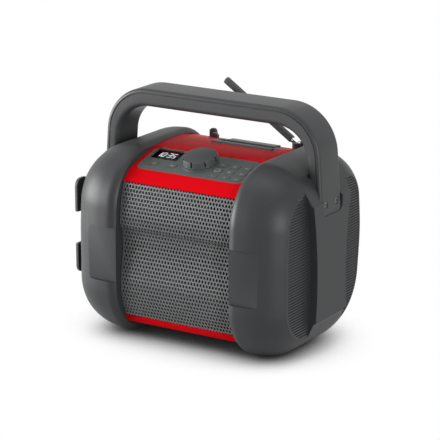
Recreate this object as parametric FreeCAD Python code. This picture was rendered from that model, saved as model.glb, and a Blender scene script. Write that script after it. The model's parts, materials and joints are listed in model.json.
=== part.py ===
import FreeCAD, Part
import os
from math import atan2, cos, hypot, radians, sin, sqrt, tan

# Jobsite radio, in millimetres. X runs along the body, minus Y is the grille side, Z is up.
# The origin lies on the ground under the middle of the body.

V = FreeCAD.Vector
X_AXIS = V(1, 0, 0)
Y_AXIS = V(0, 1, 0)
Z_AXIS = V(0, 0, 1)

# General fits and the one kind of screw
gap = 0.3
slip = 0.15
bore_play = 0.05
screw_head = 3.5
screw_head_height = 2.0
screw_core = 1.6

# Body and end bumpers
half_length = 147.5
rim_x = 75.0
rim_inset = 5.0
inner_round = 12.0
outer_round = 66.0
deepest_inset = 42.0
round_power = 2.4
foot_height = -12.0
pad_stand = 1.2
body_top = 208.4
bumper_half_depth = 108.0
bumper_widest_z = 112.0
front_low = (108.0, 66.0)
rear_low = (94.0, 82.0)
front_high = (103.5, 189.4, 66.0)
rear_high = (100.0, 192.0, 60.0)
crown_ends = (46.0, 56.0)
crown_round = 45.0
waist_round = 227.0
smallest_round = 3.0
tongue = 5.0
cavity_wall = 20.0
cavity_end_x = 122.0

# Side zones, band and ribs
zone_x = 138.0
rim_land = 2.0
rib_panel_thick = 2.8
rib_pitch = 3.2
rib_groove_width = 1.5
rib_groove_depth = 1.3
band_top = (48.0, 190.0)
band_waist = (32.7, 96.0)
band_foot = (39.0, 2.0)

# Front recess of each bumper
recess_outer_x = 114.0
recess_bottom_z = 60.0
recess_top_z = 124.0
recess_floor = 4.5
recess_round = 7.0

# Middle casing
skin = 3.2
casing_half = rim_x + tongue
top_points = [(-86.5, 175.5), (-71.8, 187.75), (-20.9, 203.05), (0.0, 205.0),
              (36.0, 204.5), (60.0, 200.0), (80.0, 190.0), (95.0, 172.0)]
rear_points = [(95.0, 172.0), (101.0, 130.0), (101.0, 50.0), (92.0, 22.0)]
tray_points = [(92.0, 22.0), (86.0, 10.0), (74.0, 5.5), (-74.0, 5.5), (-80.5, 8.5), (-84.5, 15.5)]
casing_points = top_points + rear_points[1:] + tray_points[1:]

# Control panel, measured along the slope from its own origin
slope_origin = V(0, -44.55, 195.95)
slope_tilt = 16.71
panel_half = 70.5
panel_front = -27.2
panel_back = 22.4
panel_round = 9.0
panel_thick = 1.8
panel_ledge = 3.0
key_size = (12.2, 8.4)
key_round = 2.0
key_flange = 0.8
key_lip = 0.8
key_proud = 0.3
key_travel = 0.6
key_play = 0.3
key_columns = (28.3, 44.0, 59.5)
key_rows = (5.3, -7.2, -19.0)
side_keys = ((-53.6, -12.0), (-29.5, -12.0))
display_box = (-66.5, -30.2, -1.4, 20.6)
display_thick = 1.0
board_depth = 9.0
board_thick = 1.6
board_half = 64.0
post_radius = 2.2
dome_gap = 0.15

# Volume knob
knob_centre_v = 3.4
knob_base_height = 1.3
knob_tilt = 13.7
knob_radius = 21.5
knob_top_radius = 19.6
knob_height = 9.8
knob_dome = 1.8
knob_edge = 1.5
knob_lift = 0.5
knob_grooves = 8
knob_groove_turn = -88.0
knob_groove_depth = 1.3
knob_groove_width = 2.2
knob_groove_foot = 2.2
shaft_bottom = -7.4
shaft_top = 7.8
shaft_radius = 3.0
bush_radius = 4.5

# Handle
handle_top = 268.0
grip_thick = 21.2
leg_thick = 17.2
handle_depth = 45.0
handle_top_half = 138.4
handle_foot_half = 146.8
handle_foot_z = 150.0
handle_round = 56.0
handle_inner_round = 40.0
strap_thick = 5.0
strap_edge = 4.0
frame_edge = 6.5
seam_half = 0.5
seam_depth = 0.9
foot_round = 8.0
handle_screw_z = 162.0
handle_screw_y = 11.7

# Antenna
antenna_pivot = V(66.0, 62.0, 205.0)
antenna_rest = 33.8
antenna_length = 117.0
antenna_cap = 7.0
antenna_start = 9.0
antenna_radius = 4.35
knuckle_radius = 3.2
knuckle_width = 4.4
antenna_pin_radius = 1.2
turret_radius = 6.5
turret_floor = 199.2
clip_x = -45.5
clip_half = (13.0, 9.5)
clip_sink = 1.6
clip_jaw = 3.8
clip_tops = (206.5, 208.0)
clip_front = (-2.0, 8.0)
clip_rear = (-11.5, -2.5)
clip_head = 4.0
casing_low = 180.0

# Phone holder
groove_front = 30.4
groove_back = 42.0
groove_floor = 193.0
holder_left = -30.0
holder_right = 57.0
holder_flange = 4.0
lip_ends = (-27.5, 54.0)
lip_front = 21.6
lip_top = 206.4
flap_ends = (-17.5, 46.5)
flap_back = 56.4
flap_bottom = 200.6
flap_thick = 3.6
flap_pin_radius = 0.9

# Grille
grille_half = 74.5
grille_sheet = 1.0
grille_points = [(-86.0, 175.2), (-93.2, 152.0), (-95.6, 127.0), (-89.0, 119.5),
                 (-89.4, 94.0), (-95.6, 62.0), (-93.4, 40.0), (-84.6, 17.4)]
grille_pitch = 10.6
grille_hole = 3.6
grille_margin = 5.0
baffle_front = -78.0
baffle_thick = 4.0

# Woofer
woofer_z = 92.0
woofer_radius = 60.0
woofer_opening = 52.0
woofer_depth = 38.0
magnet_radius = 35.0
magnet_thick = 18.0
surround_thick = 0.8

# Rear bay, boards and battery
bay_x = (-46.0, 14.0)
bay_z = (58.0, 86.0)
bay_depth = 9.0
bay_wall = 2.4
flap_rubber = 2.4
flap_margin = 2.5
flap_barrel_radius = 1.7
hinge_pin_radius = 0.8
main_board_y = 78.0
main_board_half = 56.0
main_board_z = (50.0, 152.0)
cell_radius = 9.2
cell_length = 65.0
cell_pitch = 20.0
cell_rows = 3
door_half = (67.0, 33.0)

# Cord hooks on the left side
hook_plate = 3.5
hook_y = (-80.0, -56.0)
hook_upper_z = (127.0, 166.0)
hook_lower_z = (53.5, 89.5)
hook_stem = 9.0
hook_round = 9.0
hook_edge = 1.5

# Foot pads
pad_x = (81.0, 101.0)
pad_y = (-30.0, 24.0)
pad_length = 24.0
pad_seat = 2.5
pad_depth = 10.0
pad_round = 4.0


# Outlines and small helpers

def turn_arc(before, corner, after, radius):
    """Start, middle and end of the arc that rounds one corner of an outline."""
    ax, ay = before[0] - corner[0], before[1] - corner[1]
    bx, by = after[0] - corner[0], after[1] - corner[1]
    la, lb = hypot(ax, ay), hypot(bx, by)
    ax, ay, bx, by = ax / la, ay / la, bx / lb, by / lb
    half = 0.5 * abs(atan2(ax * by - ay * bx, ax * bx + ay * by))
    reach = radius / tan(half)
    mx, my = ax + bx, ay + by
    lm = hypot(mx, my)
    middle = radius / sin(half) - radius
    start = (corner[0] + ax * reach, corner[1] + ay * reach)
    end = (corner[0] + bx * reach, corner[1] + by * reach)
    return start, (corner[0] + mx / lm * middle, corner[1] + my / lm * middle), end


def rounded_wire(points, radii, place):
    """Closed wire of lines and tangent arcs; place turns a flat point into a vector."""
    edges = []
    first = None
    last = None
    count = len(points)
    for i, corner in enumerate(points):
        if radii[i] > 0:
            start, middle, end = turn_arc(points[i - 1], corner, points[(i + 1) % count], radii[i])
        else:
            start, middle, end = corner, None, corner
        if last is not None:
            edges.append(Part.LineSegment(place(*last), place(*start)).toShape())
        else:
            first = start
        if middle is not None:
            edges.append(Part.Arc(place(*start), place(*middle), place(*end)).toShape())
        last = end
    edges.append(Part.LineSegment(place(*last), place(*first)).toShape())
    return Part.Wire(edges)


def in_yz(x):
    return lambda y, z: V(x, y, z)


def in_xz(y):
    return lambda x, z: V(x, y, z)


def in_xy(z):
    return lambda x, y: V(x, y, z)


def prism(points, radii, place, along):
    return Part.Face(rounded_wire(points, radii, place)).extrude(along)


def plate(x0, x1, y0, y1, z0, z1, radius=0.0):
    """Box between two corners, with its upright edges rounded."""
    if radius <= 0:
        return Part.makeBox(x1 - x0, y1 - y0, z1 - z0, V(x0, y0, z0))
    corners = [(x0, y0), (x1, y0), (x1, y1), (x0, y1)]
    return prism(corners, [radius] * 4, in_xy(z0), V(0, 0, z1 - z0))


def box(x0, x1, y0, y1, z0, z1):
    return Part.makeBox(x1 - x0, y1 - y0, z1 - z0, V(x0, y0, z0))


def rod(radius, length, base, along):
    return Part.makeCylinder(radius, length, base, along)


def fused(shapes):
    whole = shapes[0].multiFuse(shapes[1:]) if len(shapes) > 1 else shapes[0]
    return whole.removeSplitter()


def less(shape, cutters):
    return shape.cut(list(cutters))


def mirrored(shape):
    return shape.mirror(V(0, 0, 0), X_AXIS)


def shifted(points, distance):
    """Convex outline moved inwards by a distance, side by side."""
    moved = []
    count = len(points)
    for i in range(count):
        (x0, y0), (x1, y1), (x2, y2) = points[i - 1], points[i], points[(i + 1) % count]
        n0 = (-(y1 - y0), x1 - x0)
        n1 = (-(y2 - y1), x2 - x1)
        l0, l1 = hypot(*n0), hypot(*n1)
        n0 = (n0[0] / l0, n0[1] / l0)
        n1 = (n1[0] / l1, n1[1] / l1)
        k = distance / (1.0 + n0[0] * n1[0] + n0[1] * n1[1])
        moved.append((x1 + (n0[0] + n1[0]) * k, y1 + (n0[1] + n1[1]) * k))
    return moved


def offset_points(points, distance):
    """Points moved off to the right of an open outline, mitred at its bends."""
    count = len(points)
    moved = []
    for i in range(count):
        x1, y1 = points[i]
        normals = []
        for a, b in ((i - 1, i), (i, i + 1)):
            if a >= 0 and b < count:
                dx, dy = points[b][0] - points[a][0], points[b][1] - points[a][1]
                normals.append((-dy / hypot(dx, dy), dx / hypot(dx, dy)))
        n0, n1 = normals[0], normals[-1]
        k = distance / (1.0 + n0[0] * n1[0] + n0[1] * n1[1])
        moved.append((x1 - (n0[0] + n1[0]) * k, y1 - (n0[1] + n1[1]) * k))
    return moved


def bent_sheet(points, thickness, half_width, first=0, last=None):
    """Sheet of even thickness along part of an open outline, mitred where it is cut off."""
    inner = offset_points(points, thickness)
    last = len(points) if last is None else last
    flat = points[first:last] + inner[first:last][::-1]
    return prism(flat, [0] * len(flat), in_yz(-half_width), V(2 * half_width, 0, 0))


def casing_form(inset=0.0):
    """Solid inside the middle casing's outline, drawn in by the inset."""
    flat = offset_points(casing_points, inset)
    return prism(flat, [0] * len(flat), in_yz(-casing_half), V(2 * casing_half, 0, 0))


def on_slope(shape):
    """Carry a shape from the panel's own frame to its place on the red slope."""
    turned = shape.copy()
    turned.rotate(V(0, 0, 0), X_AXIS, slope_tilt)
    turned.translate(slope_origin)
    return turned


def slope_point(u, v, h):
    return FreeCAD.Rotation(X_AXIS, slope_tilt).multVec(V(u, v, h)) + slope_origin


# End bumpers

def bumper_corners():
    """Corners of the side outline, from the lower front one round by the rear."""
    return [(-front_low[0], foot_height), (rear_low[0], foot_height), (bumper_half_depth, bumper_widest_z),
            (rear_high[0], rear_high[1]), (crown_ends[1], body_top), (-crown_ends[0], body_top),
            (-front_high[0], front_high[1]), (-bumper_half_depth, bumper_widest_z)]


def bumper_radii():
    return [front_low[1], rear_low[1], waist_round, rear_high[2], crown_round, crown_round,
            front_high[2], waist_round]


def bumper_wire(x, inset):
    radii = [max(r - inset, smallest_round) for r in bumper_radii()]
    return rounded_wire(shifted(bumper_corners(), inset), radii, in_yz(x))


def round_inset(radius, reach):
    return radius - sqrt(max(radius ** 2 - reach ** 2, 0.0))


def outer_inset(x):
    """How far the side outline is drawn in at x by the large outer rounding."""
    share = max(0.0, (x - half_length) / outer_round + 1.0)
    fall = (1.0 - min(share, 1.0) ** round_power) ** (1.0 / round_power)
    return min(outer_round * (1.0 - fall), deepest_inset)


def bumper_form():
    """Outer form: the side outline, drawn in over the inner rim and the large outer rounding."""
    rim_reach = sqrt(inner_round ** 2 - (inner_round - rim_inset) ** 2)
    crown_x = rim_x + rim_reach
    round_x = half_length - outer_round
    sections = []
    for share in (1.0, 0.85, 0.65, 0.4, 0.15, 0.0):
        sections.append((crown_x - rim_reach * share, round_inset(inner_round, rim_reach * share)))
    for share in (0.1, 0.22, 0.38, 0.54, 0.68, 0.79, 0.88, 0.95, 1.0):
        x = round_x + outer_round * share
        sections.append((x, outer_inset(x)))
    wires = [bumper_wire(x, inset) for x, inset in sections]
    return Part.makeLoft(wires, True, False)


def band_face(x, wider=0.0):
    """Waisted outline of the raised band on the side, in the plane at x."""
    top_y, top_z = band_top
    waist_y, waist_z = band_waist
    foot_y, foot_z = band_foot
    top_y, waist_y, foot_y = top_y + wider, waist_y + wider, foot_y + wider
    high = body_top + outer_round
    low = -outer_round
    edges = [
        Part.LineSegment(V(x, -foot_y, low), V(x, foot_y, low)).toShape(),
        Part.LineSegment(V(x, foot_y, low), V(x, foot_y, foot_z)).toShape(),
        Part.Arc(V(x, foot_y, foot_z), V(x, waist_y, waist_z), V(x, top_y, top_z)).toShape(),
        Part.LineSegment(V(x, top_y, top_z), V(x, top_y, high)).toShape(),
        Part.LineSegment(V(x, top_y, high), V(x, -top_y, high)).toShape(),
        Part.LineSegment(V(x, -top_y, high), V(x, -top_y, top_z)).toShape(),
        Part.Arc(V(x, -top_y, top_z), V(x, -waist_y, waist_z), V(x, -foot_y, foot_z)).toShape(),
        Part.LineSegment(V(x, -foot_y, foot_z), V(x, -foot_y, low)).toShape(),
    ]
    return Part.Face(Part.Wire(edges))


def rib_zone(x, thickness, shrink):
    """The two D-shaped zones beside the band, as solids from x outwards."""
    inset = outer_inset(zone_x) + rim_land + shrink
    whole = Part.Face(bumper_wire(x, inset)).extrude(V(thickness, 0, 0))
    band = band_face(x - 1, rim_land + shrink).extrude(V(thickness + 2, 0, 0))
    return whole.cut(band).Solids


def rib_panels(side):
    """Ribbed inserts of one side: (front, rear)."""
    zones = rib_zone(zone_x - rib_panel_thick, rib_panel_thick, slip)
    panels = []
    for zone in sorted(zones, key=lambda s: s.CenterOfMass.y):
        limits = zone.BoundBox
        grooves = []
        count = int((limits.ZMax - limits.ZMin) / rib_pitch)
        for i in range(count + 1):
            z = limits.ZMin + (i + 0.5) * rib_pitch
            if z + rib_groove_width > limits.ZMax:
                continue
            grooves.append(box(zone_x - rib_groove_depth, zone_x + 1, limits.YMin - 1,
                               limits.YMax + 1, z, z + rib_groove_width))
        panel = less(zone, grooves)
        panels.append(panel if side > 0 else mirrored(panel))
    return panels


def leg_outline(grow=0.0):
    """Outer and inner outlines of the handle, seen from the front."""
    lean = (handle_foot_half - handle_top_half) / (handle_top - handle_foot_z)
    under = handle_top - grip_thick
    foot_z = handle_foot_z - grow
    foot_out = handle_top_half + lean * (handle_top - foot_z) + grow
    foot_in = foot_out - leg_thick - 2 * grow
    top_in = handle_top_half + lean * grip_thick - leg_thick - grow
    top_out = handle_top_half + grow
    outer = [(-foot_out, foot_z), (foot_out, foot_z), (top_out, handle_top + grow),
             (-top_out, handle_top + grow)]
    inner = [(-foot_in, foot_z), (foot_in, foot_z), (top_in, under - grow), (-top_in, under - grow)]
    return outer, inner


def handle_pocket():
    """Space that the handle's legs take in the bumpers, open to the outside."""
    _, inner = leg_outline(gap / 2)
    half = handle_depth / 2 + gap / 2
    reach = half_length + outer_round
    foot_z = handle_foot_z - gap / 2
    corners = [(-half, foot_z), (half, foot_z), (half, handle_top), (-half, handle_top)]
    around = prism(corners, [foot_round, foot_round, 0, 0], in_yz(-reach), V(2 * reach, 0, 0))
    hole = prism(inner, [0, 0, handle_inner_round, handle_inner_round], in_xz(-half - 1), V(0, 2 * half + 2, 0))
    return around.cut(hole)


def front_recess():
    """Cutter for the shallow hand-wide recess in the front of the bumper."""
    floor_y = -bumper_half_depth + recess_floor
    corners = [(rim_x - 10, recess_bottom_z), (recess_outer_x, recess_bottom_z),
               (recess_outer_x, recess_top_z), (rim_x - 10, recess_top_z)]
    return prism(corners, [0, recess_round, recess_round, 0], in_xz(floor_y), V(0, -30, 0))


def mouth(depth):
    """Cutter for the mouth of a bumper, where the middle casing plugs in."""
    wider = offset_points(casing_points, -slip)
    return prism(wider, [0] * len(wider), in_yz(rim_x - 1), V(depth + 1, 0, 0))


def pad_seats():
    return [plate(pad_x[0], pad_x[1], y - pad_length / 2, y + pad_length / 2, foot_height - pad_depth,
                  foot_height + pad_seat, pad_round) for y in pad_y]


def handle_screw_axis(side):
    lean = atan2(handle_foot_half - handle_top_half, handle_top - handle_foot_z)
    half = handle_top_half + tan(lean) * (handle_top - handle_screw_z)
    return [V(side * half, y, handle_screw_z) for y in (-handle_screw_y, handle_screw_y)]


def bumper(side):
    form = bumper_form()
    zone_slab = box(zone_x, half_length + 10, -200, 200, -60, 300)
    pocket = zone_slab.cut(band_face(zone_x - 1).extrude(V(half_length, 0, 0)))
    seats = rib_zone(zone_x - rib_panel_thick, rib_panel_thick + 1, 0.0)
    cavity = Part.Face(bumper_wire(casing_half, cavity_wall)).extrude(V(cavity_end_x - casing_half, 0, 0))
    screw_holes = [rod(screw_core + 0.1, 30, point, V(-1, 0, 0)) for point in handle_screw_axis(1)]
    cutters = [pocket, cavity, mouth(tongue + slip), handle_pocket(), front_recess()]
    cutters += seats + pad_seats() + screw_holes
    body = form
    for cutter in cutters:
        body = body.cut(cutter)
    return body if side > 0 else mirrored(body)


# Screws

def screw(seat, outward, length):
    """Pan-head screw whose head stands on its seat and whose shank runs inwards."""
    head = rod(screw_head, screw_head_height, seat, outward)
    shank = rod(screw_core, length, seat, outward * -1)
    return head.fuse(shank).removeSplitter()


def handle_screws():
    found = []
    for side in (1, -1):
        for point in handle_screw_axis(side):
            found.append(screw(point + V(-side * screw_head_height, 0, 0), V(side, 0, 0), 20.0))
    return Part.makeCompound(found)


# Middle casing

def slope_plate(u0, u1, v0, v1, h0, h1, radius=0.0):
    return on_slope(plate(u0, u1, v0, v1, h0, h1, radius))


def top_cover():
    shell = bent_sheet(casing_points, skin, casing_half, 0, len(top_points))
    edge_z = top_points[0][1]
    under_edge = box(-casing_half - 1, casing_half + 1, top_points[0][0] - 5, baffle_front, edge_z - 20, edge_z)
    pocket = slope_plate(-panel_half - slip, panel_half + slip, panel_front - slip, panel_back + slip,
                         -panel_thick, 10, panel_round)
    through = slope_plate(-panel_half + panel_ledge, panel_half - panel_ledge,
                          panel_front + panel_ledge, panel_back - panel_ledge, -20, 1, 2.0)
    holder = box(holder_left - slip, holder_right + slip, lip_front - 0.6, flap_back + 1.2, 180, 215)
    turret_hole = rod(turret_radius - 2.0, 20, V(antenna_pivot.x, antenna_pivot.y, 190), Z_AXIS)
    turret_recess = rod(turret_radius + gap, 20, V(antenna_pivot.x, antenna_pivot.y, turret_floor), Z_AXIS)
    return less(shell, [under_edge, pocket, through, holder, turret_hole, turret_recess, clip_form(slip)])


def rear_panel():
    first = len(top_points) - 1
    shell = bent_sheet(casing_points, skin, casing_half, first, first + len(rear_points))
    outer_y = rear_points[1][0]
    rebate = box(bay_x[0] - flap_margin - gap, bay_x[1] + flap_margin + gap, outer_y - flap_rubber - gap,
                 outer_y + 5, bay_z[0] - flap_margin - gap, bay_z[1] + flap_margin + gap)
    bay_block = box(bay_x[0] - bay_wall - 2, bay_x[1] + bay_wall + 2, outer_y - bay_depth - bay_wall,
                    outer_y - skin + 0.5, bay_z[0] - bay_wall - 2, bay_z[1] + bay_wall + 2)
    bay = box(bay_x[0], bay_x[1], outer_y - bay_depth, outer_y + 5, bay_z[0], bay_z[1])
    posts = [rod(3.0, outer_y - skin + 0.5 - main_board_y - board_thick,
                 V(x, main_board_y + board_thick, z), Y_AXIS) for x, z in board_posts()]
    whole = shell.fuse(bay_block)
    for post in posts:
        whole = whole.fuse(post)
    holes = [rod(6.2, 30, V(port_x(i), outer_y - bay_depth + 2, port_z()), V(0, -1, 0)) for i in range(3)]
    hinge = hinge_x()
    notch = box(hinge - 2.3, hinge + 2.3, outer_y - 4.0, outer_y + 5, bay_z[0] - 0.5, bay_z[1] + 0.5)
    pin_hole = rod(hinge_pin_radius + 0.02, bay_z[1] - bay_z[0] + 9,
                   V(hinge, outer_y - 1.2, bay_z[0] - 4.5), Z_AXIS)
    return less(whole, [rebate, bay, notch, pin_hole] + holes)


def board_posts():
    z0, z1 = main_board_z
    return [(x, z) for x in (-main_board_half + 4, main_board_half - 4) for z in (z0 + 4, z1 - 4)]


def port_x(index):
    return bay_x[0] + (bay_x[1] - bay_x[0]) * (index + 1) / 4.0


def port_z():
    return 0.5 * (bay_z[0] + bay_z[1])


def hinge_x():
    return bay_x[0] - flap_margin - 2.0


def port_flap():
    outer_y = rear_points[1][0]
    leaf = box(hinge_x(), bay_x[1] + flap_margin, outer_y - flap_rubber, outer_y,
               bay_z[0] - flap_margin, bay_z[1] + flap_margin)
    notch = box(hinge_x() - 5, hinge_x() + 2.6, outer_y - 9, outer_y + 5, bay_z[0] - 9, bay_z[0])
    upper = box(hinge_x() - 5, hinge_x() + 2.6, outer_y - 9, outer_y + 5, bay_z[1], bay_z[1] + 9)
    barrel = rod(flap_barrel_radius, bay_z[1] - bay_z[0], V(hinge_x(), outer_y - 1.2, bay_z[0]), Z_AXIS)
    bore = rod(hinge_pin_radius + bore_play, 60, V(hinge_x(), outer_y - 1.2, bay_z[0] - 10), Z_AXIS)
    return less(leaf.cut(notch).cut(upper).fuse(barrel), [bore])


def flap_hinge_pin():
    outer_y = rear_points[1][0]
    return rod(hinge_pin_radius, bay_z[1] - bay_z[0] + 8, V(hinge_x(), outer_y - 1.2, bay_z[0] - 4), Z_AXIS)


def bottom_tray():
    first = len(casing_points) - len(tray_points)
    shell = bent_sheet(casing_points, skin, casing_half, first)
    opening = box(-door_half[0] - slip, door_half[0] + slip, -door_half[1] - slip, door_half[1] + slip, 0, 20)
    ledge = box(-door_half[0] - 4, door_half[0] + 4, -door_half[1] - 4, door_half[1] + 4,
                8.7, 10.4).cut(box(-door_half[0] + 3, door_half[0] - 3, -door_half[1] + 3,
                                   door_half[1] - 3, 5, 20))
    return shell.cut(opening).fuse(ledge)


def battery_door():
    z0 = tray_points[2][1]
    return plate(-door_half[0], door_half[0], -door_half[1], door_half[1], z0, z0 + 2.6, 5.0)


def battery_cells():
    found = []
    for side in (-1, 1):
        for row in range(cell_rows):
            y = (row - (cell_rows - 1) / 2.0) * cell_pitch
            start = V(1.0 if side > 0 else -1.0 - cell_length, y, cell_centre_z())
            found.append(rod(cell_radius, cell_length, start, X_AXIS))
    return Part.makeCompound(found)


def cell_centre_z():
    return 10.4 + 2.0 + cell_radius


def battery_holder():
    half_x = cell_length + 1.0 + 3.0
    half_y = cell_rows * cell_pitch / 2.0 + 2.5
    base = 10.5
    block = plate(-half_x, half_x, -half_y, half_y, base, cell_centre_z(), 2.0)
    cutters = []
    for side in (-1, 1):
        for row in range(cell_rows):
            y = (row - (cell_rows - 1) / 2.0) * cell_pitch
            start = V(0.7 if side > 0 else -1.3 - cell_length, y, cell_centre_z())
            cutters.append(rod(cell_radius + slip, cell_length + 0.6, start, X_AXIS))
    return less(block, cutters)


# Grille, baffle and woofer

def grille_holes():
    """Staggered six-sided holes, drilled square to the front."""
    rows = []
    z0, z1 = grille_points[-1][1] + grille_margin, grille_points[0][1] - grille_margin
    rise = grille_pitch * sqrt(3) / 2
    row_count = int((z1 - z0) / rise)
    start_z = 0.5 * (z0 + z1) - row_count * rise / 2
    across = int((grille_half - grille_margin) / grille_pitch)
    for i in range(row_count + 1):
        shift = 0.0 if i % 2 == 0 else grille_pitch / 2
        for j in range(-across, across + 1):
            x = j * grille_pitch + shift
            if abs(x) > grille_half - grille_margin:
                continue
            corners = [(x + grille_hole * cos(radians(60 * k + 30)),
                        start_z + i * rise + grille_hole * sin(radians(60 * k + 30))) for k in range(6)]
            rows.append(prism(corners, [0] * 6, in_xz(-110), V(0, 25, 0)))
    return rows


def front_grille():
    sheet = bent_sheet(grille_points[::-1], grille_sheet, grille_half)
    outline_points = grille_points + [(baffle_front, grille_points[-1][1]),
                                      (baffle_front, grille_points[0][1])]
    cheek = prism(outline_points, [0] * len(outline_points), in_yz(grille_half - grille_sheet),
                  V(grille_sheet, 0, 0))
    holed = less(sheet, grille_holes())
    return fused([holed, cheek, mirrored(cheek)])


def grille_cloth():
    points = [(y + grille_sheet + 0.35, z) for y, z in grille_points]
    points[0] = (points[0][0] + 0.6, points[0][1] - 1.0)
    points[-1] = (points[-1][0] + 0.6, points[-1][1] + 1.0)
    return bent_sheet(points[::-1], 0.5, grille_half - grille_sheet - 0.3)


def baffle():
    plate_solid = box(-casing_half, casing_half, baffle_front, baffle_front + baffle_thick, 11.0, 177.2)
    hole = rod(woofer_opening + slip, 20, V(0, baffle_front - 5, woofer_z), Y_AXIS)
    screws = [rod(screw_core + 0.1, 20, V(x, baffle_front - 5, z), Y_AXIS) for x, z in woofer_screw_points()]
    return less(plate_solid, [hole] + screws)


def woofer_screw_points():
    ring = woofer_radius - 3.8
    return [(ring * cos(radians(a)), woofer_z + ring * sin(radians(a))) for a in (45, 135, 225, 315)]


def revolved(points, centre_y=0.0):
    """Turn a profile of (radius, y) about the woofer's axis."""
    wire = Part.makePolygon([V(r, y + centre_y, woofer_z) for r, y in points + points[:1]])
    return Part.Face(wire).revolve(V(0, 0, woofer_z), Y_AXIS, 360)


def woofer_basket():
    y0 = baffle_front - 3.0
    back = baffle_front + woofer_depth
    profile = [(woofer_radius, y0), (woofer_radius, baffle_front), (woofer_opening, baffle_front),
               (30.0, back), (12.0, back), (12.0, back - 2.0), (28.5, back - 2.0),
               (woofer_opening - 2.2, y0)]
    shell = revolved(profile)
    windows = []
    for angle in (0, 90, 180, 270):
        window = box(-13, 13, baffle_front + 8, back - 5, woofer_z + 20, woofer_z + 70)
        window.rotate(V(0, 0, woofer_z), Y_AXIS, angle)
        windows.append(window)
    holes = [rod(screw_core + 0.1, 20, V(x, y0 - 5, z), Y_AXIS) for x, z in woofer_screw_points()]
    return less(shell, windows + holes)


def woofer_surround():
    """Half roll of even thickness between the basket's rim and the cone."""
    y0 = baffle_front - 3.0
    outer = woofer_opening - gap
    front = [(outer - 11.0, y0 - 0.7), (outer - 9.2, y0 - 0.7), (outer - 7.6, y0 - 3.2),
             (outer - 4.4, y0 - 3.2), (outer - 2.4, y0), (outer, y0)]
    return revolved(front + offset_points(front, surround_thick)[::-1])


def woofer_cone():
    y0 = baffle_front - 3.0
    rim = woofer_opening - 11.5
    neck = baffle_front + 24.0
    profile = [(rim + 2.0, y0 - 0.1), (rim, y0 - 0.1), (14.0, neck), (10.0, neck + 0.5), (0.0, neck - 4.0),
               (0.0, neck - 4.8), (11.0, neck - 1.0), (14.0, neck - 1.2), (rim - 0.6, y0 - 0.7),
               (rim + 2.0, y0 - 0.7)]
    tube_profile = [(11.0, neck), (11.0, baffle_front + woofer_depth - 3), (10.4, baffle_front + woofer_depth - 3),
                    (10.4, neck - 0.2)]
    return revolved(profile).fuse(revolved(tube_profile)).removeSplitter()


def woofer_magnet():
    back = baffle_front + woofer_depth
    profile = [(12.2, back), (magnet_radius, back), (magnet_radius, back + magnet_thick),
               (0.0, back + magnet_thick), (0.0, back - 4.0), (9.6, back - 4.0), (9.6, back + 8.0),
               (12.2, back + 8.0)]
    return revolved(profile)


def woofer_screws():
    seat_y = baffle_front - 3.0
    return Part.makeCompound([screw(V(x, seat_y, z), V(0, -1, 0), 6.5) for x, z in woofer_screw_points()])


# Control panel, keys and knob

def key_places():
    grid = [(u, v) for v in key_rows for u in key_columns]
    return list(side_keys) + grid


def knob_axis():
    return FreeCAD.Rotation(X_AXIS, knob_tilt).multVec(Z_AXIS)


def knob_base():
    return slope_point(0, knob_centre_v, knob_base_height)


def on_knob(shape):
    """Carry a shape from the knob's own frame, base at its origin, to the panel."""
    turned = shape.copy()
    turned.rotate(V(0, 0, 0), X_AXIS, knob_tilt)
    turned.translate(knob_base())
    return turned


def control_panel():
    sheet = slope_plate(-panel_half, panel_half, panel_front, panel_back, -panel_thick, 0, panel_round - slip)
    collar = on_knob(rod(knob_radius + 0.6, 12, V(0, 0, -12), Z_AXIS))
    below = slope_plate(-100, 100, -100, 100, -60, -panel_thick / 2)
    boss = on_knob(rod(9.0, 6.0, V(0, 0, -6.0), Z_AXIS))
    posts = [on_slope(rod(post_radius, board_depth - board_thick - panel_thick + 0.5,
                          V(u, v, board_thick - board_depth), Z_AXIS)) for u, v in panel_posts()]
    inside = slope_plate(-panel_half, panel_half, panel_front, panel_back, -20, 20)
    whole = sheet.fuse(collar.cut(below).common(inside)).fuse(boss)
    for post in posts:
        whole = whole.fuse(post)
    cutters = [slope_plate(display_box[0] - slip, display_box[1] + slip, display_box[2] - slip,
                           display_box[3] + slip, -display_thick, 5),
               slope_plate(display_box[0] + 1.5, display_box[1] - 1.5, display_box[2] + 1.5,
                           display_box[3] - 1.5, -10, 5),
               on_knob(rod(bush_radius + slip, 40, V(0, 0, -20), Z_AXIS))]
    for u, v in key_places():
        cutters.append(key_block(u, v, key_size, key_play, -panel_thick - 1, 5, key_round + key_play))
    return less(whole, cutters)


def key_block(u, v, size, grow, h0, h1, radius):
    a, b = size[0] / 2 + grow, size[1] / 2 + grow
    return slope_plate(u - a, u + a, v - b, v + b, h0, h1, radius)


def key(u, v):
    flange_top = -panel_thick - gap
    cap = key_block(u, v, key_size, 0.0, flange_top - key_flange, key_proud, key_round)
    flange = key_block(u, v, key_size, key_lip, flange_top - key_flange, flange_top, 0.0)
    stem_foot = board_thick - board_depth + dome_height() + key_travel + dome_gap
    stem = slope_plate(u - 2.5, u + 2.5, v - 2.0, v + 2.0, stem_foot, flange_top - key_flange)
    return fused([cap, flange, stem])


def dome_height():
    return 0.8


def panel_posts():
    return [(-63.5, -20.5), (-14.0, -20.5), (14.0, -20.5), (36.0, 15.5), (63.0, 15.5)]


def control_board():
    sheet = slope_plate(-board_half, board_half + 2.5, -23.8, 18.8, -board_depth, board_thick - board_depth)
    whole = sheet.cut(on_slope(box(-8.5, 8.5, knob_centre_v - 8.5, knob_centre_v + 8.5, -20, 0)))
    for u, v in key_places():
        whole = whole.fuse(on_slope(rod(2.4, dome_height(), V(u, v, board_thick - board_depth), Z_AXIS)))
    return whole


def display_lens():
    return slope_plate(display_box[0], display_box[1], display_box[2], display_box[3],
                       -display_thick, 0.0)


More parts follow.
